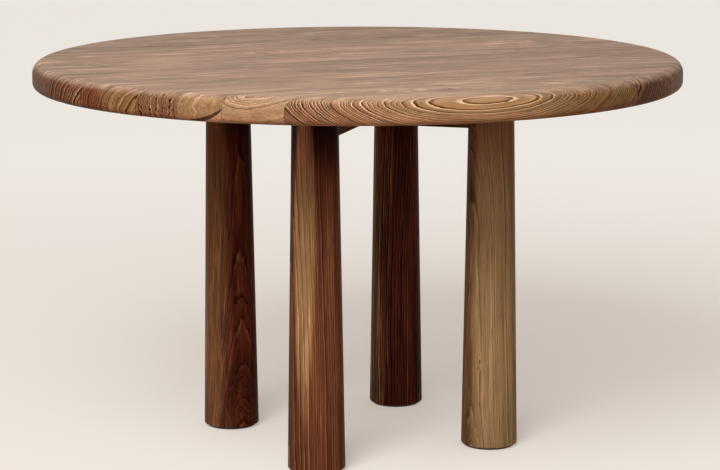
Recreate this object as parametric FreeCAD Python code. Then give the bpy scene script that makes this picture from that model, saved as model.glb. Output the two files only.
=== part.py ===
import FreeCAD, Part
import math
import os

# A round dining table in solid wood.
# The top is glued up from boards of random width, kept in line by loose tenons.
# Four turned legs, thicker at the foot, stand in a square under the middle of the top.
# Two beams cross under the top from leg to leg and are half lapped where they meet.
# Millimetres, +Z up, +X along the front of the square of legs, origin on the floor under the centre.

# Whole table
TABLE_HEIGHT = 750.0

# Top, with a full round on its upper edge and a smaller one below
TOP_DIAMETER = 1250.0
TOP_THICKNESS = 48.0
UPPER_EDGE_RADIUS = 21.0
LOWER_EDGE_RADIUS = 11.0

# Boards of the top: one seam near the middle, then the widths of the boards on each side of it.
# The first and the last board take what is left up to the rim. The grain lies a little turned on the legs.
TOP_TURN = -7.0
MIDDLE_SEAM_Y = -35.0
BOARD_WIDTHS_TO_FRONT = (145.0, 140.0, 139.0, 69.0)
BOARD_WIDTHS_TO_BACK = (150.0, 140.0, 138.0, 135.0)

# Loose tenons in the seams, with rounded edges
TENON_THICKNESS = 8.0
TENON_WIDTH = 40.0
TENON_LENGTH = 50.0
TENON_SPACING = 190.0
TENON_RIM_MARGIN = 60.0
TENON_LEVEL = 31.0
TENON_SIDE_CLEARANCE = 0.15
TENON_END_CLEARANCE = 0.5

# Legs
LEG_SPACING = 378.0
LEG_TOP_DIAMETER = 86.0
LEG_FOOT_DIAMETER = 109.0
LEG_FOOT_ROUNDING = 3.0

# Cross beams, housed in a stopped slot in the top of each leg
BEAM_WIDTH = 40.0
BEAM_DEPTH = 78.0
BEAM_PAST_LEG_AXIS = 20.0
JOINT_CLEARANCE = 0.2
LAP_PIN_DIAMETER = 12.0

# Bolts that hold the beams down into the legs
BOLT_DIAMETER = 8.0
BOLT_HEAD_DIAMETER = 13.0
BOLT_HEAD_HEIGHT = 8.0
BOLT_SOCKET_WIDTH = 6.0
BOLT_SOCKET_DEPTH = 4.0
BOLT_HEAD_BELOW_BEAM_TOP = 2.4
BOLT_SHORT_OF_INSERT = 2.0
BOLT_HOLE_CLEARANCE = 0.5
BOLT_WASHER_DIAMETER = 18.0
BOLT_WASHER_THICKNESS = 1.6
BOLT_POCKET_CLEARANCE = 1.0

# Threaded inserts in the top and the foot of each leg
INSERT_BODY_DIAMETER = 12.0
INSERT_LENGTH = 20.0
INSERT_FLANGE_DIAMETER = 17.0
INSERT_FLANGE_THICKNESS = 1.5

# Screws that hold the top to the beams, through holes slotted across the grain
SCREW_DIAMETER = 5.0
SCREW_HEAD_DIAMETER = 10.0
SCREW_HEAD_HEIGHT = 4.0
SCREW_BITE = 25.0
SCREW_POINT_LENGTH = 6.0
SCREW_WASHER_DIAMETER = 18.0
SCREW_WASHER_THICKNESS = 1.5
SCREW_SLOT_TRAVEL = 8.0
SCREW_HOLE_CLEARANCE = 0.3
SCREW_POCKET_DIAMETER = 20.0
BEAM_ABOVE_SCREW_POCKET = 40.0
SCREW_DISTANCES = (85.0, 165.0)

# Levelling glides: a moulded base on a threaded stud, shown screwed right in
GLIDE_BASE_DIAMETER = 96.0
GLIDE_BASE_HEIGHT = 4.0
GLIDE_BASE_CHAMFER = 0.8
GLIDE_TRAVEL = 10.0
STUD_DIAMETER = 8.0
STUD_SOCKET_DEPTH = 2.5
STUD_TIP_CHAMFER = 1.0
STUD_TIP_ROOM = 3.0
STUD_HOLE_CLEARANCE = 1.0

# Fit of pins, studs and bolts in the holes made for them, on the radius
FIT_CLEARANCE = 0.05

# Places worked out from the sizes above
TOP_RADIUS = TOP_DIAMETER / 2
UNDERSIDE_Z = TABLE_HEIGHT - TOP_THICKNESS
LEG_FOOT_Z = GLIDE_BASE_HEIGHT
BEAM_BOTTOM_Z = UNDERSIDE_Z - BEAM_DEPTH
BEAM_MIDDLE_Z = UNDERSIDE_Z - BEAM_DEPTH / 2
LEG_AXIS_DISTANCE = LEG_SPACING / 2 * math.sqrt(2)
BOLT_HEAD_TOP_Z = UNDERSIDE_Z - BOLT_HEAD_BELOW_BEAM_TOP
BOLT_WASHER_TOP_Z = BOLT_HEAD_TOP_Z - BOLT_HEAD_HEIGHT
BOLT_WASHER_BOTTOM_Z = BOLT_WASHER_TOP_Z - BOLT_WASHER_THICKNESS
SCREW_SEAT_Z = UNDERSIDE_Z - BEAM_ABOVE_SCREW_POCKET
STUD_LENGTH_ABOVE_BASE = INSERT_LENGTH + GLIDE_TRAVEL
STUD_BOTTOM_Z = LEG_FOOT_Z - STUD_SOCKET_DEPTH

LEG_PLACES = {
    "front_left": (-LEG_SPACING / 2, -LEG_SPACING / 2),
    "front_right": (LEG_SPACING / 2, -LEG_SPACING / 2),
    "back_left": (-LEG_SPACING / 2, LEG_SPACING / 2),
    "back_right": (LEG_SPACING / 2, LEG_SPACING / 2),
}
BEAM_ANGLES = {"upper": 45.0, "lower": -45.0}

Z_AXIS = FreeCAD.Vector(0, 0, 1)
ORIGIN = FreeCAD.Vector(0, 0, 0)


def point(x, y, z):
    return FreeCAD.Vector(x, y, z)


def cylinder(diameter, height, x, y, bottom_z):
    return Part.makeCylinder(diameter / 2, height, point(x, y, bottom_z))


def ring(outer_diameter, inner_diameter, height, x, y, bottom_z):
    outer = cylinder(outer_diameter, height, x, y, bottom_z)
    return outer.cut(cylinder(inner_diameter, height, x, y, bottom_z))


def centred_box(length, width, bottom_z, top_z):
    """A box along X with its middle over the origin."""
    return Part.makeBox(length, width, top_z - bottom_z, point(-length / 2, -width / 2, bottom_z))


def turned(edges):
    """The solid turned about the Z axis from a closed outline in the XZ plane."""
    outline = Part.Wire(Part.__sortEdges__(edges))
    return Part.Face(outline).revolve(ORIGIN, Z_AXIS, 360)


def line(start, end):
    return Part.LineSegment(start, end).toShape()


def quarter_round(start, end, centre):
    """An arc from start to end about a centre, the short way round."""
    radius = (start - centre).Length
    halfway = centre + ((start - centre) + (end - centre)).normalize() * radius
    return Part.Arc(start, halfway, end).toShape()


def cross_grain_slot(width, travel, height, x, y, bottom_z):
    """A round-ended slot that runs across the grain of the top, centred on x and y."""
    slot = Part.makeBox(width, travel, height, point(-width / 2, -travel / 2, bottom_z))
    for end_y in (-travel / 2, travel / 2):
        slot = slot.fuse(cylinder(width, height, 0, end_y, bottom_z))
    slot = slot.removeSplitter()
    slot.rotate(ORIGIN, Z_AXIS, TOP_TURN)
    slot.translate(point(x, y, 0))
    return slot


def along_beam(angle, distance):
    """The point at a distance from the centre of the table along a beam."""
    turn = math.radians(angle)
    return distance * math.cos(turn), distance * math.sin(turn)


# Top


def whole_top():
    """The round slab with both edges rounded over, before it is parted into boards."""
    inner_bottom = point(0, 0, UNDERSIDE_Z)
    lower_start = point(TOP_RADIUS - LOWER_EDGE_RADIUS, 0, UNDERSIDE_Z)
    lower_centre = lower_start + point(0, 0, LOWER_EDGE_RADIUS)
    lower_end = lower_centre + point(LOWER_EDGE_RADIUS, 0, 0)
    upper_centre = point(TOP_RADIUS - UPPER_EDGE_RADIUS, 0, TABLE_HEIGHT - UPPER_EDGE_RADIUS)
    upper_start = upper_centre + point(UPPER_EDGE_RADIUS, 0, 0)
    upper_end = upper_centre + point(0, 0, UPPER_EDGE_RADIUS)
    inner_top = point(0, 0, TABLE_HEIGHT)
    return turned([
        line(inner_bottom, lower_start),
        quarter_round(lower_start, lower_end, lower_centre),
        line(lower_end, upper_start),
        quarter_round(upper_start, upper_end, upper_centre),
        line(upper_end, inner_top),
        line(inner_top, inner_bottom),
    ])


def seams():
    """The Y of every glue line, from front to back, inside the rim."""
    found = [MIDDLE_SEAM_Y]
    for width in BOARD_WIDTHS_TO_FRONT:
        found.insert(0, found[0] - width)
    for width in BOARD_WIDTHS_TO_BACK:
        found.append(found[-1] + width)
    return [y for y in found if abs(y) < TOP_RADIUS - UPPER_EDGE_RADIUS]


def tenon_places():
    """The centre of every loose tenon: evenly spaced along each seam, clear of the rim."""
    places = []
    for seam_y in seams():
        half_seam = math.sqrt(TOP_RADIUS ** 2 - seam_y ** 2)
        x = TENON_SPACING / 2
        while x + TENON_WIDTH / 2 + TENON_RIM_MARGIN < half_seam:
            places.append((-x, seam_y))
            places.append((x, seam_y))
            x += TENON_SPACING
    return places


def tenon_block(x, y, side_growth, end_growth):
    """A flat tenon with round edges across a seam, or the mortise for it where it is grown."""
    thickness = TENON_THICKNESS + 2 * side_growth
    length = TENON_LENGTH + 2 * end_growth
    edge_distance = (TENON_WIDTH - TENON_THICKNESS) / 2
    start_y = y - length / 2
    middle_z = UNDERSIDE_Z + TENON_LEVEL
    corner = point(x - edge_distance, start_y, middle_z - thickness / 2)
    block = Part.makeBox(2 * edge_distance, length, thickness, corner)
    for edge_x in (x - edge_distance, x + edge_distance):
        start = point(edge_x, start_y, middle_z)
        block = block.fuse(Part.makeCylinder(thickness / 2, length, start, point(0, 1, 0)))
    return block.removeSplitter()


def loose_tenons():
    tenons = Part.makeCompound([tenon_block(x, y, 0, 0) for x, y in tenon_places()])
    tenons.rotate(ORIGIN, Z_AXIS, TOP_TURN)
    return tenons


def top_boards():
    """The boards from front to back, each mortised for its tenons and drilled for the screws."""
    slab = whole_top()
    edges = [-TOP_RADIUS] + seams() + [TOP_RADIUS]
    pilots = [screw_shape(x, y, FIT_CLEARANCE) for x, y in screw_places()]
    boards = []
    for front_y, back_y in zip(edges, edges[1:]):
        corner = point(-TOP_RADIUS, front_y, UNDERSIDE_Z)
        board = slab.common(Part.makeBox(TOP_DIAMETER, back_y - front_y, TOP_THICKNESS, corner))
        mortises = [
            tenon_block(x, y, TENON_SIDE_CLEARANCE, TENON_END_CLEARANCE)
            for x, y in tenon_places()
            if y in (front_y, back_y)
        ]
        board = board.cut(mortises)
        board.rotate(ORIGIN, Z_AXIS, TOP_TURN)
        boards.append(board.cut(pilots))
    return boards


# Cross beams


def beam_blank(end_growth, side_growth):
    """A beam along X from leg to leg, or the room for it where it is grown."""
    length = 2 * (LEG_AXIS_DISTANCE + BEAM_PAST_LEG_AXIS + end_growth)
    return centred_box(length, BEAM_WIDTH + 2 * side_growth, BEAM_BOTTOM_Z, UNDERSIDE_Z)


def cross_beam(name):
    """A beam with its half lap, bolt holes and screw slots. The upper beam is notched from below."""
    angle = BEAM_ANGLES[name]
    notch_length = BEAM_WIDTH + 2 * JOINT_CLEARANCE
    notch_levels = {"upper": (BEAM_BOTTOM_Z, BEAM_MIDDLE_Z), "lower": (BEAM_MIDDLE_Z, UNDERSIDE_Z)}
    beam = beam_blank(0, 0).cut(centred_box(notch_length, BEAM_WIDTH, *notch_levels[name]))
    beam.rotate(ORIGIN, Z_AXIS, angle)
    holes = [cylinder(LAP_PIN_DIAMETER + 2 * FIT_CLEARANCE, BEAM_DEPTH, 0, 0, BEAM_BOTTOM_Z)]
    for side in (-1, 1):
        holes += bolt_room(*along_beam(angle, side * LEG_AXIS_DISTANCE))
        for distance in SCREW_DISTANCES:
            holes += screw_room(*along_beam(angle, side * distance))
    return beam.cut(holes)


def lap_pin():
    return cylinder(LAP_PIN_DIAMETER, BEAM_DEPTH, 0, 0, BEAM_BOTTOM_Z)


# Legs


def turned_leg():
    """A leg on the Z axis: a straight taper from the foot up, with the foot's edge rounded over."""
    foot_radius = LEG_FOOT_DIAMETER / 2
    foot_centre = point(0, 0, LEG_FOOT_Z)
    foot_edge = point(foot_radius, 0, LEG_FOOT_Z)
    top_edge = point(LEG_TOP_DIAMETER / 2, 0, UNDERSIDE_Z)
    top_centre = point(0, 0, UNDERSIDE_Z)
    leg = turned([
        line(foot_centre, foot_edge),
        line(foot_edge, top_edge),
        line(top_edge, top_centre),
        line(top_centre, foot_centre),
    ])
    foot_rim = [e for e in leg.Edges if e.BoundBox.ZMax < LEG_FOOT_Z + 0.01 and len(e.Vertexes) == 1]
    return leg.makeFillet(LEG_FOOT_ROUNDING, foot_rim)


def leg(name):
    """A leg in its place, slotted for its beam and bored for its two inserts."""
    x, y = LEG_PLACES[name]
    body = turned_leg()
    body.translate(point(x, y, 0))
    slot = beam_blank(JOINT_CLEARANCE, JOINT_CLEARANCE)
    slot.rotate(ORIGIN, Z_AXIS, BEAM_ANGLES["upper"] if x * y > 0 else BEAM_ANGLES["lower"])
    top_bore = insert_shape(x, y, BEAM_BOTTOM_Z, -1, FIT_CLEARANCE)
    foot_bore = insert_shape(x, y, LEG_FOOT_Z, 1, FIT_CLEARANCE)
    stud_hole_diameter = STUD_DIAMETER + 2 * STUD_HOLE_CLEARANCE
    stud_room = cylinder(stud_hole_diameter, STUD_LENGTH_ABOVE_BASE + STUD_TIP_ROOM, x, y, LEG_FOOT_Z)
    return body.cut([slot, top_bore, foot_bore, stud_room])


# Threaded inserts


def insert_shape(x, y, flange_z, direction, growth):
    """An insert without its thread. The flange lies flush at flange_z and the body runs up or down."""
    flange = cylinder(
        INSERT_FLANGE_DIAMETER + 2 * growth,
        INSERT_FLANGE_THICKNESS,
        x,
        y,
        flange_z if direction > 0 else flange_z - INSERT_FLANGE_THICKNESS,
    )
    body = cylinder(
        INSERT_BODY_DIAMETER + 2 * growth,
        INSERT_LENGTH,
        x,
        y,
        flange_z if direction > 0 else flange_z - INSERT_LENGTH,
    )
    return flange.fuse(body).removeSplitter()


def threaded_insert(x, y, flange_z, direction, bore_diameter):
    bottom_z = flange_z if direction > 0 else flange_z - INSERT_LENGTH
    bore = cylinder(bore_diameter + 2 * FIT_CLEARANCE, INSERT_LENGTH, x, y, bottom_z)
    return insert_shape(x, y, flange_z, direction, 0).cut(bore)


def leg_top_inserts():
    return [threaded_insert(x, y, BEAM_BOTTOM_Z, -1, BOLT_DIAMETER) for x, y in LEG_PLACES.values()]


def foot_inserts():
    return [threaded_insert(x, y, LEG_FOOT_Z, 1, STUD_DIAMETER) for x, y in LEG_PLACES.values()]


# Leg bolts


def bolt_room(x, y):
    """The through hole and the pocket for the head, let into the top of a beam."""
    hole = cylinder(BOLT_DIAMETER + 2 * BOLT_HOLE_CLEARANCE, BEAM_DEPTH, x, y, BEAM_BOTTOM_Z)
    pocket_diameter = BOLT_WASHER_DIAMETER + 2 * BOLT_POCKET_CLEARANCE
    pocket = cylinder(pocket_diameter, UNDERSIDE_Z - BOLT_WASHER_BOTTOM_Z, x, y, BOLT_WASHER_BOTTOM_Z)
    return [hole, pocket]


def leg_bolt(x, y):
    """A socket head bolt, head up, that reaches into the insert in the leg."""
    tip_z = BEAM_BOTTOM_Z - INSERT_LENGTH + BOLT_SHORT_OF_INSERT
    shank = cylinder(BOLT_DIAMETER, BOLT_WASHER_TOP_Z - tip_z, x, y, tip_z)
    head = cylinder(BOLT_HEAD_DIAMETER, BOLT_HEAD_HEIGHT, x, y, BOLT_WASHER_TOP_Z)
    corners = [
        point(
            x + BOLT_SOCKET_WIDTH / math.sqrt(3) * math.cos(math.radians(60 * side)),
            y + BOLT_SOCKET_WIDTH / math.sqrt(3) * math.sin(math.radians(60 * side)),
            BOLT_HEAD_TOP_Z - BOLT_SOCKET_DEPTH,
        )
        for side in range(7)
    ]
    socket = Part.Face(Part.makePolygon(corners)).extrude(point(0, 0, BOLT_SOCKET_DEPTH))
    return shank.fuse(head).cut(socket)


def bolt_washer(x, y):
    inner = BOLT_DIAMETER + 2 * BOLT_HOLE_CLEARANCE
    return ring(BOLT_WASHER_DIAMETER, inner, BOLT_WASHER_THICKNESS, x, y, BOLT_WASHER_BOTTOM_Z)


# Top screws


def screw_places():
    places = []
    for angle in BEAM_ANGLES.values():
        for side in (-1, 1):
            places += [along_beam(angle, side * distance) for distance in SCREW_DISTANCES]
    return places


def screw_shape(x, y, growth):
    """A wood screw, point up: shank and point, or the hole for them where it is grown."""
    head_top_z = SCREW_SEAT_Z - SCREW_WASHER_THICKNESS
    shoulder_z = UNDERSIDE_Z + SCREW_BITE - SCREW_POINT_LENGTH
    radius = SCREW_DIAMETER / 2 + growth
    shank = Part.makeCylinder(radius, shoulder_z - head_top_z, point(x, y, head_top_z))
    tip = Part.makeCone(radius, growth, SCREW_POINT_LENGTH + growth, point(x, y, shoulder_z))
    return shank.fuse(tip).removeSplitter()


def top_screw(x, y):
    head_top_z = SCREW_SEAT_Z - SCREW_WASHER_THICKNESS
    head = cylinder(SCREW_HEAD_DIAMETER, SCREW_HEAD_HEIGHT, x, y, head_top_z - SCREW_HEAD_HEIGHT)
    return head.fuse(screw_shape(x, y, 0))


def screw_washer(x, y):
    inner = SCREW_DIAMETER + 2 * SCREW_HOLE_CLEARANCE
    bottom_z = SCREW_SEAT_Z - SCREW_WASHER_THICKNESS
    return ring(SCREW_WASHER_DIAMETER, inner, SCREW_WASHER_THICKNESS, x, y, bottom_z)


def screw_room(x, y):
    """The pocket in the underside of a beam and the slot that lets the top move across its grain."""
    pocket = cylinder(SCREW_POCKET_DIAMETER, SCREW_SEAT_Z - BEAM_BOTTOM_Z, x, y, BEAM_BOTTOM_Z)
    width = SCREW_DIAMETER + 2 * SCREW_HOLE_CLEARANCE
    slot = cross_grain_slot(width, SCREW_SLOT_TRAVEL, BEAM_ABOVE_SCREW_POCKET, x, y, SCREW_SEAT_Z)
    return [pocket, slot]


# Levelling glides


def glide_base(x, y):
    """The moulded base that stands on the floor, with the socket that its stud is set in."""
    base = cylinder(GLIDE_BASE_DIAMETER, GLIDE_BASE_HEIGHT, x, y, 0)
    rim_edges = [e for e in base.Edges if e.BoundBox.ZLength < 0.01]
    base = base.makeChamfer(GLIDE_BASE_CHAMFER, rim_edges)
    return base.cut(cylinder(STUD_DIAMETER + 2 * FIT_CLEARANCE, STUD_SOCKET_DEPTH, x, y, STUD_BOTTOM_Z))


def glide_stud(x, y):
    length = STUD_SOCKET_DEPTH + STUD_LENGTH_ABOVE_BASE
    stud = cylinder(STUD_DIAMETER, length, x, y, STUD_BOTTOM_Z)
    tip_edges = [e for e in stud.Edges if e.BoundBox.ZMin > STUD_BOTTOM_Z + length / 2]
    return stud.makeChamfer(STUD_TIP_CHAMFER, tip_edges)


def table_nodes():
    """Every piece or group of like pieces, by its name."""
    nodes = {}
    for number, board in enumerate(top_boards(), start=1):
        nodes[f"top_board_{number:02d}"] = board
    nodes["loose_tenons"] = loose_tenons()
    for name in BEAM_ANGLES:
        nodes[f"cross_beam_{name}"] = cross_beam(name)
    nodes["lap_pin"] = lap_pin()
    for name, (x, y) in LEG_PLACES.items():
        nodes[f"leg_{name}"] = leg(name)
        nodes[f"glide_base_{name}"] = glide_base(x, y)
        nodes[f"glide_stud_{name}"] = glide_stud(x, y)
    nodes["leg_top_inserts"] = Part.makeCompound(leg_top_inserts())
    nodes["foot_inserts"] = Part.makeCompound(foot_inserts())
    nodes["leg_bolts"] = Part.makeCompound([leg_bolt(x, y) for x, y in LEG_PLACES.values()])
    nodes["leg_bolt_washers"] = Part.makeCompound([bolt_washer(x, y) for x, y in LEG_PLACES.values()])
    nodes["top_screws"] = Part.makeCompound([top_screw(x, y) for x, y in screw_places()])
    nodes["top_screw_washers"] = Part.makeCompound([screw_washer(x, y) for x, y in screw_places()])
    return nodes


def main():
    os.makedirs("parts", exist_ok=True)
    for name, shape in table_nodes().items():
        shape.exportStep(f"parts/{name}.step")
        box = shape.BoundBox
        print(
            f"{name}: {len(shape.Solids)} solids, {shape.Volume / 1000:.1f} cm3, valid {shape.isValid()},"
            f" z {box.ZMin:.2f} to {box.ZMax:.2f}"
        )


main()
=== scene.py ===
# %% [markdown]
# # A round dining table in solid wood
# The table is a thick round top of ten glued boards on four turned legs. Its solids come in as a
# fixed frame, already at their real size and place, so this lesson is about what the eye reads as
# wood: growth rings that run through each board in three dimensions, dark heartwood against pale
# sapwood, and a thin satin oil. Then come the hardware, a plain studio and a camera.

import math
from types import SimpleNamespace

import bpy
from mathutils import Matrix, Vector

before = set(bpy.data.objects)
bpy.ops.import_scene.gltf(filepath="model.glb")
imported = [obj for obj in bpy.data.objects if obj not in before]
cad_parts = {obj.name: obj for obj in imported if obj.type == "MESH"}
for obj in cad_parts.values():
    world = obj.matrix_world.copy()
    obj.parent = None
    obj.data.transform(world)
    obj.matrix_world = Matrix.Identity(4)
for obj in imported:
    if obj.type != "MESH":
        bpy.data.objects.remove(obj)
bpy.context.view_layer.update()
bpy.ops.object.select_all(action="DESELECT")

# %% [markdown]
# ## Shader maths in plain Python
# Wood is arithmetic: how far is this point from the heart of the tree, and which year's ring is
# that? Math nodes wired by hand hide the formula, so one small class stands for a socket and lets
# Python's own operators add the nodes. Any other node comes from its `node` method.


# %% A socket that can be calculated with
class Wire:
    """An output socket of a material. Sums and products of wires add Math nodes."""

    def __init__(self, socket):
        self.socket = socket
        self.tree = socket.id_data

    def node(self, kind, settings, inputs, out=0):
        """Adds a node of a kind: its settings first, then its sockets' values or links."""
        made = self.tree.nodes.new(kind)
        for key, value in settings.items():
            setattr(made, key, value)
        for key, value in inputs.items():
            if isinstance(value, Wire):
                self.tree.links.new(value.socket, made.inputs[key])
            else:
                made.inputs[key].default_value = value
        return Wire(made.outputs[out])

    def math(self, operation, *values):
        """Adds a Math node on some values to this wire's tree."""
        return self.node("ShaderNodeMath", {"operation": operation}, dict(enumerate(values)))

    def __add__(self, other):
        return self.math("ADD", self, other)

    def __sub__(self, other):
        return self.math("SUBTRACT", self, other)

    def __rsub__(self, other):
        return self.math("SUBTRACT", other, self)

    def __mul__(self, other):
        return self.math("MULTIPLY", self, other)

    def __truediv__(self, other):
        return self.math("DIVIDE", self, other)

    def __rtruediv__(self, other):
        return self.math("DIVIDE", other, self)

    def __abs__(self):
        return self.math("ABSOLUTE", self)

    __radd__ = __add__
    __rmul__ = __mul__

    def step(self, low, high):
        """0 below low, 1 above high and a smooth rise between. With low above high it falls."""
        limits = {"Value": self, "From Min": low, "From Max": high}
        return self.node("ShaderNodeMapRange", {"interpolation_type": "SMOOTHSTEP"}, limits)

    def along(self, direction):
        """How far a point lies along a direction."""
        inputs = {0: self, 1: direction}
        return self.node("ShaderNodeVectorMath", {"operation": "DOT_PRODUCT"}, inputs, "Value")

    def shade(self, factor):
        """A colour made lighter or darker by a factor."""
        inputs = {0: self, "Scale": factor}
        return self.node("ShaderNodeVectorMath", {"operation": "SCALE"}, inputs)

    def mix(self, first, second, blend="MIX"):
        """Blends two colours, with this wire as the share of the second."""
        settings = {"data_type": "RGBA", "blend_type": blend}
        return self.node("ShaderNodeMix", settings, {0: self, 6: first, 7: second}, 2)


def length(*parts):
    """The length of a vector from its parts."""
    return parts[0].math("SQRT", sum(part * part for part in parts))


print("shader maths is ready")

# %% [markdown]
# ## A material to start from
# Every finish starts with the same three things: a material, the place of a point on the piece and
# a shader. Texture Coordinate's Object output gives that place in metres, in the table's own frame,
# so a pattern can run on through a piece instead of being wrapped round it.


# %% An empty material
def new_material(name):
    """A new material with its texture coordinates and its shader."""
    material = bpy.data.materials.new(name)
    material.use_nodes = True
    tree = material.node_tree
    return material, tree.nodes.new("ShaderNodeTexCoord"), tree.nodes["Principled BSDF"]


def plug(shader, **wires):
    """Links wires to the shader's sockets, with spaces in their names written as underscores."""
    for name, wire in wires.items():
        wire.tree.links.new(wire.socket, shader.inputs[name.replace("_", " ")])


def opaque(colour):
    """A colour of three numbers with the alpha that a socket asks for."""
    return colour + (1.0,)


print("materials can be made and wired")

# %% [markdown]
# ## A log as a solid texture
# A picture of wood wrapped round a shape gives itself away at the edges, where the end grain is
# wrong. Here every board is cut from its own log instead. A point is measured along the grain and
# across it from the pith, the centre of the tree, and its distance from the pith gives the ring.
# The same formula then draws straight lines on the face of a board, arcs on its end and ovals
# where the round rim only just grazes a ring.

# %% Noise that is drawn out along the grain
NOISE_ROUGHNESS = 0.55


def grain_noise(place, per_metre, detail, seed):
    """Noise on a place in a log, with its own frequency along and across the grain."""
    along, across, up = place
    stretched = {0: along * per_metre[0] + seed, 1: across * per_metre[1], 2: up * per_metre[1]}
    scaled = along.node("ShaderNodeCombineXYZ", {}, stretched)
    inputs = {"Vector": scaled, "Scale": 1.0, "Detail": detail, "Roughness": NOISE_ROUGHNESS}
    return scaled.node("ShaderNodeTexNoise", {}, inputs, "Color")


def noise_value(place, per_metre, detail, seed):
    """The same noise as one number about 0, mostly between -0.3 and 0.3."""
    return grain_noise(place, per_metre, detail, seed).along((1 / 3, 1 / 3, 1 / 3)) - 0.5


print("noise follows the grain")

# %% A point's place in its log
WAVE_GAIN = 2.4  # makes up for the small span of the noise
KNOT_STRETCH = 2.6  # how much further a knot reaches along the grain than across


def place_in_log(cut):
    """Measures a point along the grain and outwards from a pith that sweeps, strays and ripples."""
    place = Wire(cut.coordinates.outputs["Object"])
    cut.grain, cut.side, cut.up = (place.along(axis) for axis in cut.axes)
    cut.bow = (cut.grain - cut.bend) * (cut.grain - cut.bend)
    across = cut.side - cut.pith[0] - cut.bow * cut.sweep[0]
    rise = cut.up - cut.pith[1] - cut.bow * cut.sweep[1]
    cut.log = (cut.grain, across, rise)
    stray = grain_noise(cut.log, per_metre=(2.1, 5.0), detail=1.0, seed=cut.seed)
    radius = length(
        across + (stray.along((1, 0, 0)) - 0.5) * cut.wander,
        rise + (stray.along((0, 1, 0)) - 0.5) * cut.wander,
    )
    waves = noise_value(cut.log, per_metre=(6.0, 30.0), detail=1.0, seed=cut.seed + 11)
    cut.ripple = noise_value(cut.log, per_metre=(16.0, 130.0), detail=2.0, seed=cut.seed + 17)
    cut.radius = radius + (waves + cut.ripple) * (WAVE_GAIN * cut.wave)


def grow_knots(cut):
    """Lifts the rings round each knot, furthest along the grain, and keeps its dark eye for later."""
    cut.eyes = 0.0
    for knot_grain, knot_side, knot_up, size, lift in cut.knots:
        off = length(
            (cut.grain - knot_grain) / (size * KNOT_STRETCH),
            (cut.side - knot_side) / size,
            (cut.up - knot_up) / size,
        )
        cut.radius = cut.radius + off.step(1.0, 0.0) * lift
        cut.eyes = off.step(0.30, 0.10) + cut.eyes


print("a point knows its distance from the pith")

# %% [markdown]
# ## Rings
# A ring-porous wood such as elm opens each year with a pale porous line and closes it with a dense
# dark one. Both lines keep their width while the year between them varies, so they are drawn by
# distance, and only where the years crowd together as a share of the ring. Good and bad years come
# from noise along one dimension, the age, and every year has a strength of its own.

# %% A log's rings
SPELL_YEARS = 5  # how long a spell of good or bad years lasts
SPELL_SHIFT = 4  # how strongly such spells widen and narrow the rings
CALM_EDGE = 0.012
CALM_GRAIN = (0.3, 0.1)


def grow_rings(cut):
    """Counts the years out from the pith and draws the light and the dark line of each ring."""
    age = cut.radius * (1 + cut.radius * cut.slowing) / cut.ring
    seasons = {"W": age / SPELL_YEARS + cut.seed, "Scale": 1.0, "Detail": 1.0}
    cut.weather = age.node("ShaderNodeTexNoise", {"noise_dimensions": "1D"}, seasons) - 0.5
    cut.years = age + cut.weather * SPELL_SHIFT
    season = cut.years.math("FRACT", cut.years)
    year = cut.years.math("FLOOR", cut.years)
    vigour = year.node("ShaderNodeTexWhiteNoise", {"noise_dimensions": "1D"}, {"W": year + cut.seed})
    strength = (vigour * 0.7 + 0.5) * cut.contrast
    if cut.calm:
        outside = cut.radius.step(cut.calm - CALM_EDGE, cut.calm + CALM_EDGE)
        strength = strength * (1 - outside * cut.grain.step(*CALM_GRAIN) * 0.8)
    width = cut.ring / (1 + cut.radius * (2 * cut.slowing))
    line = width.math("MINIMUM", width * cut.crowd, cut.late)
    cut.light_line = (season * width).step(line * 0.7, line * 0.1) * strength
    cut.dark_line = ((1 - season) * width).step(line, line * 0.2) * strength


print("rings can be drawn")


# %% Figure along the grain
def draw_figure(cut):
    """Fine lines that follow the rings, and streaks, strands, fibres and pores along the grain."""
    by_year = (cut.grain, cut.years, 0.0)
    cut.lines = noise_value(by_year, per_metre=(5.0, 2.6), detail=2.0, seed=cut.seed + 5)
    cut.fibres = noise_value(cut.log, per_metre=(22.0, 820.0), detail=3.0, seed=cut.seed + 23)
    cut.strands = noise_value(cut.log, per_metre=(9.0, 240.0), detail=2.0, seed=cut.seed + 43)
    cut.streaks = noise_value(cut.log, per_metre=(3.0, 75.0), detail=4.0, seed=cut.seed + 29)
    cut.patches = noise_value(cut.log, per_metre=(2.6, 17.0), detail=2.0, seed=cut.seed + 37)
    pitted = noise_value(cut.log, per_metre=(20.0, 420.0), detail=2.0, seed=cut.seed + 51)
    cut.pores = pitted.step(0.05, 0.2)


print("figure can be drawn")

# %% [markdown]
# ## Heartwood and sapwood
# The tree's old core has turned dark red-brown, while the young wood outside it stays golden. The
# border follows a ring only roughly, so its distance gets some noise, and on some pieces it drifts
# or bows along the grain. A tone is three colours: the light line that opens a ring, the ring's
# body and the dark line that closes it.

# %% The wood's tones
GOLDEN = ((0.66, 0.445, 0.265), (0.335, 0.178, 0.080), (0.095, 0.028, 0.005))
PALE = ((0.48, 0.315, 0.20), (0.31, 0.176, 0.090), (0.10, 0.040, 0.014))
SAND = ((0.30, 0.172, 0.088), (0.265, 0.146, 0.070), (0.20, 0.098, 0.042))
HONEY = ((0.36, 0.205, 0.100), (0.205, 0.103, 0.041), (0.075, 0.026, 0.008))
AMBER = ((0.41, 0.23, 0.115), (0.285, 0.147, 0.064), (0.095, 0.034, 0.011))
OLIVE = ((0.415, 0.257, 0.133), (0.286, 0.165, 0.075), (0.145, 0.068, 0.027))
BROWN = ((0.32, 0.170, 0.090), (0.160, 0.068, 0.029), (0.028, 0.006, 0.002))
TAWNY = ((0.26, 0.128, 0.058), (0.140, 0.055, 0.022), (0.045, 0.013, 0.004))
UMBER = ((0.22, 0.110, 0.054), (0.120, 0.052, 0.023), (0.040, 0.012, 0.004))
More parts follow.
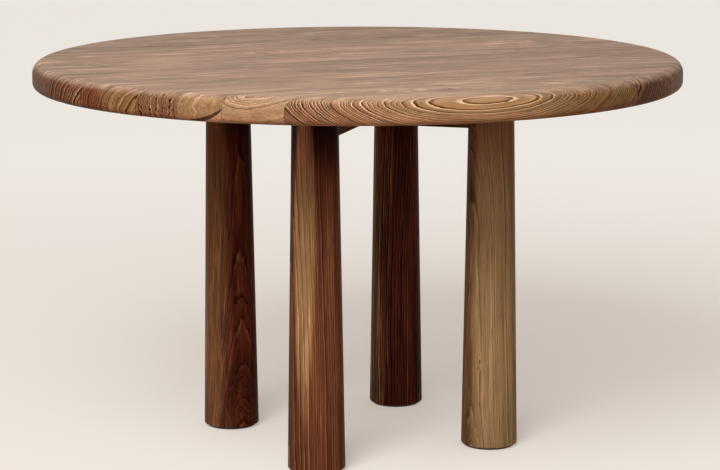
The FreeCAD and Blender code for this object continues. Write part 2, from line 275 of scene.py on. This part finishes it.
RUSSET = ((0.27, 0.120, 0.058), (0.120, 0.036, 0.015), (0.030, 0.006, 0.002))
RED = ((0.13, 0.040, 0.021), (0.066, 0.013, 0.0055), (0.006, 0.0005, 0.0002))
# The upper face's bleached tone, with a painted sheen of the bright backdrop in it.
FACE_AND_SHEEN = ((0.55, 0.373, 0.265), (0.381, 0.250, 0.174), (0.195, 0.115, 0.071))


def ring_colour(light_line, dark_line, tone):
    """A ring's colour: a light line opens it, its body follows and a dark line closes it."""
    light, body, dark = (opaque(colour) for colour in tone)
    return dark_line.mix(light_line.mix(body, light), dark)


def colour_rings(cut):
    """Colours the rings as sapwood or heartwood, and adds up how far the figure lightens them."""
    middle = cut.heart_pith or cut.pith
    reach = length(cut.side - middle[0], cut.up - middle[1])
    reach = reach - cut.grain * cut.heart_growth - cut.bow * cut.heart_bow
    reach = reach + (cut.patches * 2.0 + cut.streaks * 2.5) * cut.heart_edge
    cut.heartwood = reach.step(cut.heart_radius + cut.heart_edge, cut.heart_radius - cut.heart_edge)
    sap, heart = (ring_colour(cut.light_line, cut.dark_line, tone) for tone in (cut.sap, cut.heart))
    cut.colour = cut.heartwood.mix(sap, heart)
    streaked = cut.streaks * 1.5 + cut.strands * 1.1 + cut.fibres * 1.2
    cut.shade = cut.weather * 0.5 + cut.lines * 1.9 + cut.patches * 0.5 + streaked * cut.streaky


print("heartwood and sapwood have their tones")

# %% [markdown]
# ## What only the boards have
# Light has bleached the upper face to one paler tone, and a sheen of the bright backdrop is painted
# into that tone. The lower edge of the rim and the underside get painted shade, redder and darker.
# End grain drinks more oil and goes darker. A thin line of glue shows at each seam, and in one board
# a ring has come apart near the end, its gap painted dark as shade. Each of these is a small
# function that changes the colour or the shade worked out so far.

# %% Faded face with painted sheen, painted shade below, end grain and seams
FACE_HEIGHTS = (0.737, 0.7495)  # over the round of the rim
UNDERSIDE_SHADE_HEIGHTS = (0.723, 0.704)
END_FACING = (-0.05, -0.55)  # how far the surface faces against the grain
GLUE_LINE = (0.0014, 0.0002)  # distances from the seam


def fade_face_and_paint_sheen(cut, share):
    """Bleaches the upper face, paints a sheen of the backdrop into its tone and gives it longer streaks."""
    upper = cut.up.step(*FACE_HEIGHTS)
    bleached_and_sheen = ring_colour(cut.light_line * 0.6, cut.dark_line * 0.6, FACE_AND_SHEEN)
    cut.colour = (upper * share).mix(cut.colour, bleached_and_sheen)
    dashes = noise_value(cut.log, per_metre=(9.0, 70.0), detail=3.0, seed=cut.seed + 61)
    cut.shade = cut.shade + upper * (cut.streaks + dashes * 2.5)


def redden_shade_below(cut, tint):
    """Paints shade on the lower edge of the rim and the underside, redder and darker."""
    cut.colour = cut.up.step(*UNDERSIDE_SHADE_HEIGHTS).mix(cut.colour, opaque(tint), "MULTIPLY")


def darken_end(cut, tint):
    """Darkens the end where the grain starts: its dark lines most and its light lines least."""
    facing = Wire(cut.coordinates.outputs["Normal"]).along(cut.axes[0])
    share = facing.step(*END_FACING) * (cut.dark_line * 0.6 - cut.light_line * 0.3 + 0.64)
    cut.colour = share.mix(cut.colour, opaque(tint), "MULTIPLY")


def mark_seams(cut, seams):
    """Draws a thin dark line of glue along a board's two seams."""
    edge = cut.side.math("MINIMUM", cut.side - seams[0], seams[1] - cut.side)
    cut.shade = cut.shade - edge.step(*GLUE_LINE) * 0.5


print("boards can fade, darken and show their glue")

# %% A crack
# Painted shade in the crack's gap.
CRACK_PAINTED_SHADE = (0.03, 0.012, 0.005)
CRACK_BLUR = 0.002


def open_crack(cut, crack):
    """A ring come apart near a board's end: a gap painted dark as its shade, widest midway, with pale wood
    past it.
    """
    middle_side, middle_up = crack["middle"]
    swing = (cut.side - middle_side) / crack["reach"][0]
    rise = (cut.up - middle_up) / crack["reach"][1]
    oval = length(swing, rise) + cut.ripple * 0.12
    near_end = cut.grain.step(crack["last"], crack["last"] - 0.03)
    past_middle = near_end * cut.side.step(middle_side + CRACK_BLUR, middle_side - CRACK_BLUR)
    corner = past_middle * cut.up.step(crack["top"] + CRACK_BLUR, crack["top"] - CRACK_BLUR)
    echo = noise_value((cut.grain, oval, 0.0), per_metre=(5.0, 16.0), detail=2.0, seed=cut.seed + 71)
    beside = near_end * cut.side.step(middle_side + 0.035, middle_side + 0.005)
    cut.shade = cut.shade + beside * echo * 0.9
    cut.colour = (corner * oval.step(0.98, 1.02)).mix(cut.colour, opaque(crack["outer"]))
    swell = 1 - (swing * 2 + 1) * (swing * 2 + 1)
    gap = abs(oval - 1) - swell * 0.07 - cut.ripple * 0.12
    cut.colour = (corner * gap.step(0.04, 0.0) * 0.9).mix(cut.colour, opaque(CRACK_PAINTED_SHADE))


print("a board can crack")

# %% [markdown]
# ## One wood, many logs
# With the steps in hand, a piece of wood is one call: the directions of its grain, where its pith
# lay, how wide its rings are, its two tones and whatever else its log has of its own. The oil
# leaves a soft sheen, and a fine bump lets the light catch pores and fibres up close.

# %% The wood's recipe
TRAITS = dict(
    sweep=(0.0, 0.0),  # how strongly the pith bows, to the side and up
    bend=0.0,  # where along the grain that bow turns
    wander=0.02,  # how far the pith strays
    wave=0.004,  # how far the rings ripple
    knots=(),  # place, size and lift of each knot
    slowing=0.0,  # how fast the rings get narrower outwards
    contrast=1.0,  # how strong the ring lines are
    calm=None,  # radius from which they are faint
    late=0.0016,  # widest that a dark line gets
    crowd=0.4,  # largest share of a ring that it takes
    streaky=1.0,  # how strong the streaks along the grain are
    heart_pith=None,  # middle of the heartwood, where that isn't the pith
    heart_radius=0.0,
    heart_edge=0.01,
    heart_growth=0.0,  # how the heartwood's radius changes along the grain
    heart_bow=0.0,  # and how it swells away from the bend
    sheen=0.018,
)
PORE_SHADE = 0.7
KNOT_SHADE = 0.9
RELIEF_DEPTH = 0.0005


def wood(name, axes, seed, pith, ring, sap, heart, extras=(), **traits):
    """Wood from one log. Axes are the grain and two directions across it, in which pith is given."""
    cut = SimpleNamespace(axes=axes, seed=seed, pith=pith, ring=ring, sap=sap, heart=heart)
    vars(cut).update(TRAITS | traits)
    material, cut.coordinates, shader = new_material(name)
    for step in (place_in_log, grow_knots, grow_rings, draw_figure, colour_rings):
        step(cut)
    for extra, setting in extras:
        extra(cut, setting)
    shade = cut.shade.math("EXPONENT", cut.shade - cut.pores * PORE_SHADE - cut.eyes * KNOT_SHADE)
    height = cut.fibres - cut.pores - cut.dark_line * 0.15
    relief = {"Height": height, "Strength": 0.3, "Distance": RELIEF_DEPTH}
    plug(
        shader,
        Base_Color=cut.colour.shade(shade),
        Roughness=0.40 + cut.pores * 0.2 - cut.fibres * 0.2,
        Normal=shade.node("ShaderNodeBump", {}, relief),
    )
    shader.inputs["Specular IOR Level"].default_value = cut.sheen
    return material


def dress(node, material):
    """Gives a solid of the frame its finish."""
    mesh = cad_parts[node].data
    mesh.materials.clear()
    mesh.materials.append(material)


print("wood is ready to be cut")

# %% [markdown]
# ## The boards of the top
# The boards lie a little turned on the square of the legs. What shows most is the rim, where each
# board's end tells how it was sawn: the front board grazes its rings in long ovals, because its
# log was bowed, the third board stands its rings upright and has cracked, and further back the
# ends turn to dark heartwood.

# %% The front boards' logs
CRACK = dict(
    middle=(-0.412, 0.735), reach=(0.0483, 0.030), top=0.727, last=-0.30, outer=(0.36, 0.21, 0.11),
)
END_TINT = (0.23, 0.03, 0.01)
FRONT_LOGS = {
    1: dict(
        pith=(-0.643, 0.760), ring=0.0063, sap=GOLDEN, heart=HONEY, sweep=(0.0, 0.44), slowing=5.0,
        wander=0.006, wave=0.0018, contrast=1.4, late=0.0014, crowd=0.62, heart_pith=(-0.55, 0.72),
        heart_radius=-0.065, heart_edge=0.05, heart_growth=0.9, extras=((darken_end, END_TINT),),
    ),
    2: dict(
        pith=(-0.486, 0.785), ring=0.0040, sap=PALE, heart=UMBER, sweep=(-0.29, 0.20), bend=-0.35,
        slowing=-1.5, wander=0.004, wave=0.003, calm=0.058, contrast=1.3, late=0.0070,
        heart_pith=(-0.49, 0.72), heart_radius=-0.15, heart_growth=0.7,
    ),
    3: dict(
        pith=(-0.150, 0.720), ring=0.0065, sap=SAND, heart=BROWN, wave=0.008, contrast=1.3, late=0.0030,
        heart_radius=0.344, heart_edge=0.006, heart_growth=0.2, extras=((open_crack, CRACK),),
    ),
    4: dict(
        pith=(-0.400, 0.660), ring=0.0085, sap=HONEY, heart=RUSSET, wander=0.04, late=0.0036,
        heart_pith=(-0.15, 0.70), heart_radius=0.10, heart_edge=0.02,
    ),
    5: dict(
        pith=(-0.250, 0.660), ring=0.0105, sap=RUSSET, heart=BROWN, wander=0.05, contrast=2.0,
        late=0.0046, heart_pith=(-0.22, 0.70), heart_radius=0.08, heart_edge=0.02,
    ),
}
print(f"{len(FRONT_LOGS)} logs for the front boards")

# %% Boards
TOP_TURN = math.radians(-7.0)
BOARD_AXES = (
    (math.cos(TOP_TURN), math.sin(TOP_TURN), 0.0),
    (-math.sin(TOP_TURN), math.cos(TOP_TURN), 0.0),
    (0.0, 0.0, 1.0),
)
SEAMS = (-0.70, -0.528, -0.459, -0.320, -0.180, -0.035, 0.115, 0.255, 0.393, 0.528, 0.70)
FADED_AND_SHEEN_SHARE = 0.75
# Painted shade on the rim's lower edge and the underside.
UNDERSIDE_SHADE_TINT = (0.95, 0.77, 0.73)
BACK_LOGS = {
    6: dict(pith=(0.060, 0.650), ring=0.0100, sap=UMBER, late=0.0040, heart_radius=0.05),
    7: dict(pith=(0.150, 0.640), ring=0.0055, sap=HONEY),
    8: dict(pith=(0.330, 0.660), ring=0.0050, sap=HONEY),
    9: dict(pith=(0.470, 0.630), ring=0.0055, sap=UMBER),
    10: dict(pith=(0.560, 0.670), ring=0.0060, sap=HONEY),
}
for log in BACK_LOGS.values():
    log.update(heart=RUSSET, wander=0.05)
BOARD_LOGS = FRONT_LOGS | BACK_LOGS
for number, log in BOARD_LOGS.items():
    every_board = (
        (fade_face_and_paint_sheen, FADED_AND_SHEEN_SHARE),
        (redden_shade_below, UNDERSIDE_SHADE_TINT),
        (mark_seams, SEAMS[number - 1:number + 1]),
    )
    log["extras"] = log.get("extras", ()) + every_board
    board_wood = wood(f"board_{number:02d}_wood", BOARD_AXES, seed=3.7 * number, **log)
    dress(f"top_board_{number:02d}", board_wood)
print(f"{len(BOARD_LOGS)} boards have their wood")

# %% [markdown]
# ## The legs
# Each leg is turned on a lathe from a log of its own, so the round surface cuts through the rings
# as it tapers: that draws the tall arches. Two legs are mostly dark heartwood, one has a golden
# streak of sapwood down its front, and one is almost all pale. Under the top the legs get painted
# shade, redder and with darker heartwood, where the top shades them. Near the floor they are a
# little darker.

# %% Painted shade under the top, and a darker foot
HEART_SHADE_HEIGHTS = (0.54, 0.68)
TOP_SHADE_HEIGHTS = (0.46, 0.68)
FOOT_HEIGHTS = (0.20, 0.02)


# Painted shade: the heartwood under the top is darkened where the top shades it.
def shade_heart_under_top(cut, depth):
    """Paints shade on a leg's heartwood towards the table top, where the top shades it."""
    cut.shade = cut.shade - cut.heartwood * cut.grain.step(*HEART_SHADE_HEIGHTS) * depth


def darken_foot(cut, depth):
    """Darkens a leg towards the floor."""
    cut.shade = cut.shade - cut.grain.step(*FOOT_HEIGHTS) * depth


def redden_shade_under_top(cut, tint):
    """Paints a leg redder and darker towards the table top: painted shade with a warm painted bounce."""
    cut.colour = cut.grain.step(*TOP_SHADE_HEIGHTS).mix(cut.colour, opaque(tint), "MULTIPLY")


# Under the top the tint paints shade, with a warm painted bounce from the wood.
EVERY_LEG = ((darken_foot, 0.24), (redden_shade_under_top, (0.95, 0.64, 0.70)))
# A leg gets painted shade under the top, and its foot is darker towards the floor.
print("legs can age")

# %% Legs
LEG_OFFSET = 0.189
LEG_AXES = ((0.0, 0.0, 1.0), (1.0, 0.0, 0.0), (0.0, 1.0, 0.0))
LEG_SIDES = {"back_left": (-1, 1), "front_left": (-1, -1), "back_right": (1, 1), "front_right": (1, -1)}
LEG_LOGS = {
    "back_left": dict(
        pith=(-0.0033, 0.070), ring=0.0028, sap=TAWNY, heart=RED, sweep=(0.0, 0.085), bend=0.45,
        wander=0.015, wave=0.0012, contrast=0.6, late=0.0008, streaky=2.4, heart_pith=(0.035, -0.019),
        heart_radius=0.0735, heart_growth=-0.0173, knots=((0.04, -0.1927, 0.1353, 0.010, 0.004),),
        extras=((shade_heart_under_top, 1.5),),
    ),
    "front_left": dict(
        pith=(0.090, -0.030), ring=0.0050, sap=AMBER, heart=RUSSET, bend=0.47, wave=0.0015, contrast=0.8,
        streaky=1.8, heart_pith=(0.2484, 0.1683), heart_radius=0.3506, heart_edge=0.0026,
        heart_growth=-0.0163, heart_bow=0.042, extras=((shade_heart_under_top, 2.2),),
    ),
    "back_right": dict(
        pith=(-0.090, 0.040), ring=0.0060, sap=BROWN, heart=RED, wave=0.002, contrast=1.5, late=0.0024,
        streaky=3.0, heart_pith=(0.035, -0.019), heart_radius=0.087, heart_edge=0.012,
        heart_growth=-0.0153, extras=((shade_heart_under_top, 1.0),),
    ),
    "front_right": dict(
        pith=(0.059, 0.013), ring=0.0026, sap=OLIVE, heart=TAWNY, wave=0.0008, contrast=0.7, late=0.0008,
        heart_pith=(-0.075, 0.030), heart_radius=0.050, heart_edge=0.014,
        knots=((0.1755, 0.1484, -0.2208, 0.008, 0.006),),
    ),
}
for number, (leg, log) in enumerate(LEG_LOGS.items()):
    for key in ("pith", "heart_pith"):
        log[key] = tuple(place + LEG_OFFSET * side for place, side in zip(log[key], LEG_SIDES[leg]))
    log["extras"] = log.get("extras", ()) + EVERY_LEG
    leg_wood = wood(f"leg_{leg}_wood", LEG_AXES, seed=51.3 + 5.1 * number, **log)
    dress(f"leg_{leg}", leg_wood)
print(f"{len(LEG_LOGS)} legs have their wood")

# %% [markdown]
# ## The beams and the joinery
# Two beams cross under the top and carry it. Only short stretches of their lower edges show, so
# plain brown wood with a dull surface does. The pin through their half lap and the loose tenons in
# the seams are pale wood and don't show at all on the finished table, but they are there when it is
# taken apart.

# %% Beams, pin and tenons
DIAGONAL = math.sqrt(0.5)
BEAM_AXES = {
    "upper": ((DIAGONAL, DIAGONAL, 0.0), (-DIAGONAL, DIAGONAL, 0.0), (0.0, 0.0, 1.0)),
    "lower": ((DIAGONAL, -DIAGONAL, 0.0), (DIAGONAL, DIAGONAL, 0.0), (0.0, 0.0, 1.0)),
}
BEAM_LOG = dict(pith=(0.03, 0.58), ring=0.004, sap=BROWN, heart=BROWN, sheen=0.0)
TENON_LOG = dict(pith=(0.0, 0.2), ring=0.003, sap=PALE, heart=PALE)
for number, (beam, axes) in enumerate(BEAM_AXES.items()):
    beam_wood = wood(f"beam_{beam}_wood", axes, seed=81.0 + 7 * number, **BEAM_LOG)
    dress(f"cross_beam_{beam}", beam_wood)
tenon_wood = wood("tenon_wood", BOARD_AXES, seed=97.0, **TENON_LOG)
dress("loose_tenons", tenon_wood)
dress("lap_pin", tenon_wood)
print("beams, pin and tenons have their wood")

# %% [markdown]
# ## Hardware
# Bolts, inserts, screws and levelling glides are standard parts: zinc plate, black oxide, brass and
# moulded black plastic. A fine noise in the sheen keeps each of them from looking like flat paint.


# %% Metal and plastic
def hard_finish(name, colour, metallic, roughness, speckle):
    """Metal or moulded plastic with a fine unevenness in its colour and sheen."""
    material, coordinates, shader = new_material(name)
    place = Wire(coordinates.outputs["Object"])
    grit = place.node("ShaderNodeTexNoise", {}, {"Vector": place, "Scale": speckle, "Detail": 3.0}) - 0.5
    darker = tuple(part * 0.85 for part in colour)
    tint = (grit * 0.8 + 0.5).mix(opaque(darker), opaque(colour))
    plug(shader, Base_Color=tint, Roughness=grit * 0.3 + roughness)
    shader.inputs["Metallic"].default_value = metallic
    return material


zinc = hard_finish("zinc_plate", (0.62, 0.62, 0.63), metallic=1.0, roughness=0.35, speckle=900.0)
black_oxide = hard_finish("black_oxide", (0.04, 0.04, 0.042), metallic=0.8, roughness=0.45, speckle=900.0)
brass = hard_finish("machined_brass", (0.75, 0.56, 0.27), metallic=1.0, roughness=0.30, speckle=700.0)
black_plastic = hard_finish("black_plastic", (0.02, 0.02, 0.02), metallic=0.0, roughness=0.55, speckle=1200.0)
for node in ("leg_bolt_washers", "top_screws", "top_screw_washers"):
    dress(node, zinc)
dress("leg_bolts", black_oxide)
dress("leg_top_inserts", brass)
dress("foot_inserts", brass)
for leg in LEG_SIDES:
    dress(f"glide_base_{leg}", black_plastic)
    dress(f"glide_stud_{leg}", zinc)
print("hardware has its finishes")

# %% [markdown]
# ## The studio
# A pale paper floor runs out of the picture, so it is the background too. It lies a hair below the
# feet, so that no two faces share a plane. Seen by the camera it is nearly white, but the light that
# it throws back up is warmer and weaker, as if the room went on outside the picture. The Light Path
# node tells the two apart.

# %% Floor
FLOOR_SIZE = 60.0
FLOOR_HEIGHT = -0.0003
PAPER = (0.57, 0.57, 0.555)
UNSEEN_PAPER = (0.50, 0.44, 0.38)
NEAR_PAINTED_GLOW = (0.36, 0.305, 0.262)
FAR_PAINTED_GLOW = (0.50, 0.462, 0.431)
GLOW_REACH = (0.8, 4.0)
NO_GLOW = (0.0, 0.0, 0.0)


def seen_directly(tree):
    """1 for what the camera sees, straight or in a reflection, and 0 for light on its way."""
    rays = tree.nodes.new("ShaderNodeLightPath")
    seen = sum(Wire(rays.outputs[f"Is {ray} Ray"]) for ray in ("Camera", "Glossy", "Transmission"))
    return seen.math("MINIMUM", seen, 1.0)


bpy.ops.mesh.primitive_plane_add(size=FLOOR_SIZE, location=(0.0, 0.0, FLOOR_HEIGHT))
floor = bpy.context.object
floor.name = "floor"
floor_paper, coordinates, shader = new_material("floor_paper")
seen = seen_directly(floor_paper.node_tree)
place = Wire(coordinates.outputs["Object"])
distance = length(place.along((1.0, 0.0, 0.0)), place.along((0.0, 1.0, 0.0)))
# Painted light: for the camera the floor glows, which lifts the table's shadow, and near the table the glow
# is warmer as a painted bounce from the wood.
painted_glow = distance.step(*GLOW_REACH).mix(opaque(NEAR_PAINTED_GLOW), opaque(FAR_PAINTED_GLOW))
plug(
    shader,
    Base_Color=seen.mix(opaque(UNSEEN_PAPER), opaque(PAPER)),
    Emission_Color=seen.mix(opaque(NO_GLOW), painted_glow),
)
shader.inputs["Emission Strength"].default_value = 1.0
shader.inputs["Roughness"].default_value = 0.9
floor.data.materials.append(floor_paper)
print("floor", floor.dimensions)

# %% [markdown]
# ## Light
# One low broad light from the front left shapes the legs, and a soft box close above the left front
# of the top lets its light fall off across the boards. The room fills in the shadows. In the wood's
# sheen the backdrop is bright and the room in front of the table is dark.

# %% Room
ROOM_COLOUR = (0.95, 0.90, 0.85)
FILL_LEVEL = 0.36
FRONT_LEVEL = 0.14
BACKDROP_RISE = 0.72
BACKDROP_HEADING = (0.468, 0.884, 0.0)
BACKDROP_EDGE = (-0.2, 0.6)

world = bpy.data.worlds.new("studio")
world.use_nodes = True
bpy.context.scene.world = world
background = world.node_tree.nodes["Background"]
background.inputs["Color"].default_value = opaque(ROOM_COLOUR)
seen = seen_directly(world.node_tree)
heading = Wire(world.node_tree.nodes.new("ShaderNodeTexCoord").outputs["Generated"])
behind = heading.along(BACKDROP_HEADING).step(*BACKDROP_EDGE)
level = seen * (behind * BACKDROP_RISE + FRONT_LEVEL) + (1 - seen) * FILL_LEVEL
plug(background, Strength=level)
print("room fills in at", FILL_LEVEL)


# %% Lamps
def aim(lamp, towards):
    """Turns a lamp so that it shines in a direction."""
    lamp.rotation_euler = Vector(towards).to_track_quat("-Z", "Y").to_euler()


def broad_light(name, towards, angle, strength):
    """An even light from a wide part of the sky, the same over the whole floor."""
    bpy.ops.object.light_add(type="SUN", location=(0.0, 0.0, 3.0))
    lamp = bpy.context.object
    lamp.name = name
    lamp.data.angle = math.radians(angle)
    lamp.data.energy = strength
    aim(lamp, towards)


broad_light("key_light", towards=(0.650, 0.670, -0.358), angle=40.0, strength=1.3)
broad_light("top_light", towards=(-0.1, 0.3, -1.0), angle=90.0, strength=0.2)
bpy.ops.object.light_add(type="AREA", location=(-1.7, -1.6, 2.5))
soft_box = bpy.context.object
soft_box.name = "soft_box"
soft_box.data.shape = "SQUARE"
soft_box.data.size = 1.6
soft_box.data.spread = math.radians(90.0)
soft_box.data.energy = 20.5
aim(soft_box, Vector((0.0, 0.0, 0.6)) - soft_box.location)

# %% [markdown]
# ## Camera
# The camera looks from the left of the front and from a little above the top, through a long lens
# that keeps the round top from bulging. A view transform of Standard keeps the colours as written.

# %% Camera
CAMERA_PLACE = (-2.23204, -4.21607, 1.28330)
CAMERA_PITCH = 0.1829
CAMERA_ROLL = 0.0019
CAMERA_AZIMUTH = -0.4869
LENS = 123.795
SENSOR_WIDTH = 36.0
SHIFT = 0.0041

bpy.ops.object.camera_add(location=CAMERA_PLACE)
camera = bpy.context.object
camera.data.lens = LENS
camera.data.sensor_width = SENSOR_WIDTH
camera.data.shift_x = SHIFT
camera.rotation_euler = (math.pi / 2 - CAMERA_PITCH, CAMERA_ROLL, CAMERA_AZIMUTH)
bpy.context.scene.camera = camera
bpy.context.scene.view_settings.view_transform = "Standard"
print("camera at", tuple(camera.location))

# %% [markdown]
# ## Sizes
# A finish changes no shape, so the dressed table fills the same box as the bare solids.
